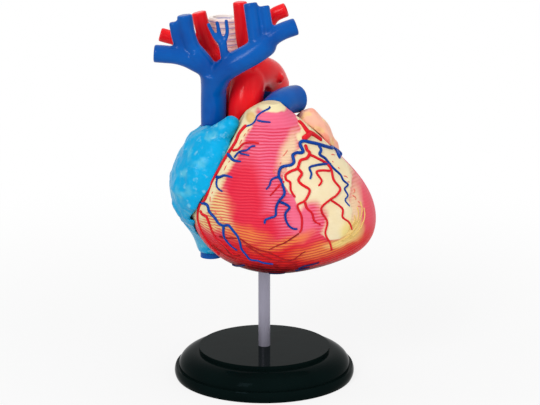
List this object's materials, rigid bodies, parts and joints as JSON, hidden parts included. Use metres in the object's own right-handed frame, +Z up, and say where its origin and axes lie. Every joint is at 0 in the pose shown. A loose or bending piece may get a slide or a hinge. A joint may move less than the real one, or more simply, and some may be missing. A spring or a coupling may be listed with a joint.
{
  "type": "human heart anatomy model",
  "caption": "Desk model of a human heart that comes apart: hollow coloured pieces plug together and stand on a rod above a round glossy base.",
  "frame": {"origin": "centre of the base's underside, on the rod's axis", "axes": "+X to the right seen from the front, +Y away from the viewer towards the back of the heart, +Z up along the rod"},
  "size_m": [0.1097, 0.0914, 0.1932],
  "materials": {
    "base": "gloss",
    "rod": "satin",
    "heart_muscle": "satin",
    "inner_muscle": "satin",
    "valve_tissue": "satin",
    "right_atrium": "satin",
    "left_atrium": "satin",
    "vein": "satin",
    "artery": "satin",
    "windpipe": "matt"
  },
  "bodies": {
    "stand": {"base_plate": "base", "base_dome": "base"},
    "rod": {"support_rod": "rod"},
    "heart": {"ventricle_back_wall": "heart_muscle", "valve_plate": "valve_tissue", "tricuspid_valve": "valve_tissue", "mitral_valve": "valve_tissue", "septum": "heart_muscle", "right_papillary_muscle": "inner_muscle", "left_papillary_muscle": "inner_muscle", "aortic_valve": "valve_tissue", "pulmonary_valve": "valve_tissue", "right_atrium_back": "right_atrium", "inferior_vena_cava": "vein", "left_atrium": "left_atrium", "left_lung_veins": "artery", "right_lung_veins": "artery"},
    "front_wall": {"ventricle_front_wall": "heart_muscle"},
    "atrium_front": {"right_atrium_front": "right_atrium"},
    "auricle": {"left_auricle": "left_atrium"},
    "lung_artery": {"pulmonary_artery": "vein"},
    "main_artery": {"aorta": "artery"},
    "veins": {"great_veins": "vein"},
    "airway": {"windpipe": "windpipe"}
  },
  "joints": [
    {"name": "rod_swivel", "type": "hinge", "parent": "stand", "child": "rod", "pos_m": [0, 0, 0.01], "axis": [0, 0, 1], "continuous": true},
    {"name": "heart_lift", "type": "slide", "parent": "rod", "child": "heart", "axis": [0, 0, 1], "range_m": [0, 0.03]},
    {"name": "front_wall_pull", "type": "slide", "parent": "heart", "child": "front_wall", "axis": [0, -1, 0], "range_m": [0, 0.06]},
    {"name": "atrium_front_pull", "type": "slide", "parent": "heart", "child": "atrium_front", "axis": [0, -1, 0], "range_m": [0, 0.05]},
    {"name": "auricle_pull", "type": "slide", "parent": "heart", "child": "auricle", "axis": [1, 0, 0], "range_m": [0, 0.04]},
    {"name": "lung_artery_lift", "type": "slide", "parent": "heart", "child": "lung_artery", "axis": [0, 0, 1], "range_m": [0, 0.05]},
    {"name": "aorta_lift", "type": "slide", "parent": "lung_artery", "child": "main_artery", "axis": [0, 0, 1], "range_m": [0, 0.05]},
    {"name": "veins_lift", "type": "slide", "parent": "main_artery", "child": "veins", "axis": [0, 0, 1], "range_m": [0, 0.05]},
    {"name": "windpipe_pull", "type": "slide", "parent": "main_artery", "child": "airway", "axis": [0, 1, 0], "range_m": [0, 0.04]}
  ]
}
